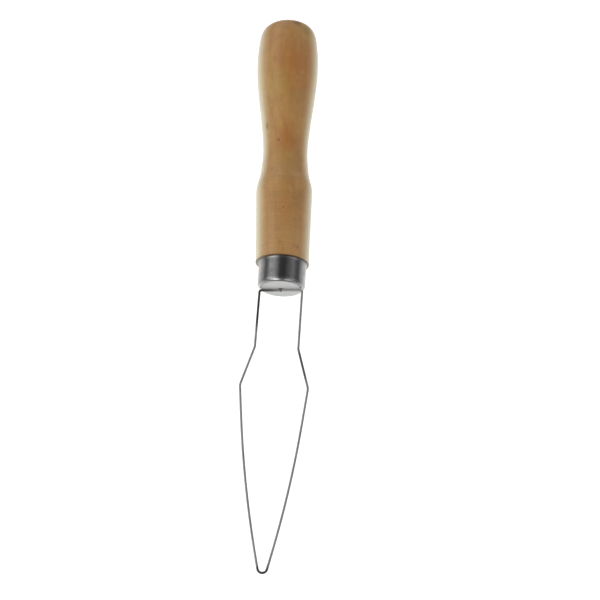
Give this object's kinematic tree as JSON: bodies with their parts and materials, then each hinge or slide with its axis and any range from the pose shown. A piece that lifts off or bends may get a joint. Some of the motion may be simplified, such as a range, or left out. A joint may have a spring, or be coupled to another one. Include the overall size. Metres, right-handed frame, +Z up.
{
  "type": "clay modeling tool",
  "caption": "Hand tool with a turned wooden grip, a steel ferrule and a long leaf-shaped loop of thin round wire for cutting and hollowing clay.",
  "frame": {"origin": "on the ferrule's axis, halfway along the ferrule's straight band", "axes": "-Y towards the tip of the loop along the ferrule's axis, +Y towards the butt of the handle, which leans 2 degrees to -X, +Z up with the loop lying in the plane z = 0, +X across the loop"},
  "size_m": [0.0282, 0.2232, 0.0242],
  "materials": {
    "wood": "turned and clear lacquered, glossy",
    "ferrule_steel": "bright drawn steel",
    "wire_steel": "drawn spring wire",
    "adhesive": "cured clear adhesive"
  },
  "bodies": {
    "root": {"handle": "wood", "ferrule": "ferrule_steel", "wire_loop": "wire_steel", "adhesive_plug": "adhesive"}
  },
  "joints": []
}
